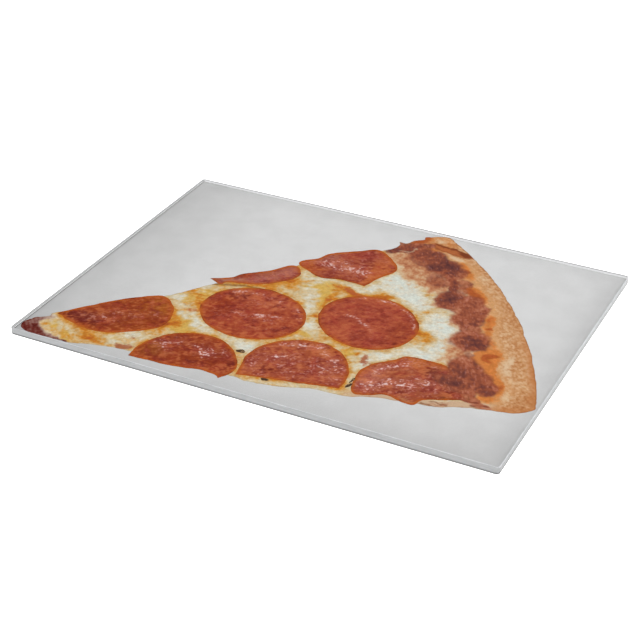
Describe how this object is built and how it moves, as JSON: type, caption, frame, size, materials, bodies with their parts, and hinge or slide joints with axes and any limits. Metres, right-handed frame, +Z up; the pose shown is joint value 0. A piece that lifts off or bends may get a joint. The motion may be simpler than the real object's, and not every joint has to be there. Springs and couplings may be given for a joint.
{
  "type": "printed glass cutting board",
  "caption": "Rectangular tempered glass cutting board on round rubber feet, with a picture of a pepperoni pizza slice on a white ground under the clear glass.",
  "frame": {"origin": "on the surface that the feet stand on, under the middle of the panel", "axes": "+X along the long side, towards the crust end of the picture; +Y along the short side; +Z up out of the glass"},
  "size_m": [0.2794, 0.2032, 0.0069],
  "materials": {
    "glass": "clear, smooth, ground edges",
    "print": "opaque white ink with a food picture in flat fields of red, gold and tan",
    "foot_rubber": "satin, translucent"
  },
  "bodies": {
    "root": {"glass_panel": "glass", "print_layer": "print", "foot_1": "foot_rubber", "foot_2": "foot_rubber", "foot_3": "foot_rubber", "foot_4": "foot_rubber"}
  },
  "joints": []
}
